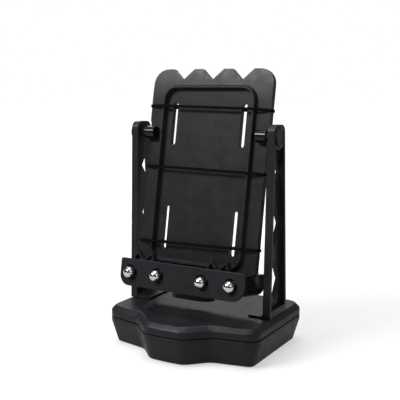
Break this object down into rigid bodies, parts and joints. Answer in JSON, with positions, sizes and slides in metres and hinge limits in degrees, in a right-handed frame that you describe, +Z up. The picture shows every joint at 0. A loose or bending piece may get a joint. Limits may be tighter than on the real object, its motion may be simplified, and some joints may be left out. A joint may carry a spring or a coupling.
{
  "type": "swing-type automatic watch winder",
  "caption": "Battery swing winder for a wristwatch: a tall openwork cradle with elastic bands and a ball-weighted tray hangs between two uprights on a base with a bulged front.",
  "frame": {"origin": "on the table, under the centre of the base's bounding box", "axes": "+Z up, +Y towards the back of the base, +X to the user's right"},
  "size_m": [0.116, 0.0989, 0.1909],
  "materials": {
    "matt_black_plastic": "matt",
    "gloss_black_plastic": "gloss",
    "black_acetal": "satin",
    "rubber": "matt",
    "elastic": "matt",
    "chrome": "polished",
    "steel": "satin",
    "nickel": "satin",
    "magnet": "satin",
    "copper": "gloss",
    "natural_plastic": "satin",
    "board": "satin",
    "component_black": "satin",
    "red_plastic": "satin"
  },
  "bodies": {
    "base": {"base_cover": "matt_black_plastic", "base_shell": "matt_black_plastic", "rubber_feet": "rubber", "case_screws": "steel", "circuit_board": "board", "board_parts": "component_black", "board_screws": "steel", "coil_bobbin": "natural_plastic", "coil_winding": "copper", "coil_core": "steel", "battery_contacts": "nickel", "switch_body": "component_black", "left_upright": "matt_black_plastic", "right_upright": "matt_black_plastic", "upright_screws": "steel", "left_bush": "black_acetal", "right_bush": "black_acetal", "left_cap": "matt_black_plastic", "right_cap": "matt_black_plastic"},
    "door": {"battery_door": "matt_black_plastic"},
    "slider": {"switch_slider": "red_plastic"},
    "cradle": {"cradle_panel": "matt_black_plastic", "cradle_tray": "gloss_black_plastic", "front_lip": "matt_black_plastic", "lip_pins": "steel", "panel_screws": "steel", "left_hub": "gloss_black_plastic", "right_hub": "gloss_black_plastic", "left_pivot_pin": "steel", "right_pivot_pin": "steel", "left_tooth_rest": "matt_black_plastic", "right_tooth_rest": "matt_black_plastic", "weight_balls": "chrome", "ball_magnets": "magnet", "balance_weight": "steel", "drive_magnet": "magnet", "magnet_cover": "matt_black_plastic", "top_band": "elastic", "middle_band": "elastic", "bottom_band": "elastic"}
  },
  "joints": [
    {"name": "cradle_swing", "type": "hinge", "parent": "base", "child": "cradle", "pos_m": [0, 0.0065, 0.1467], "axis": [1, 0, 0], "range_deg": [-25, 45]},
    {"name": "battery_door_hinge", "type": "hinge", "parent": "base", "child": "door", "pos_m": [0, 0.01135, 0.0019], "axis": [-1, 0, 0], "range_deg": [0, 80]},
    {"name": "power_switch", "type": "slide", "parent": "base", "child": "slider", "axis": [1, 0, 0], "range_m": [0, 0.003]}
  ]
}
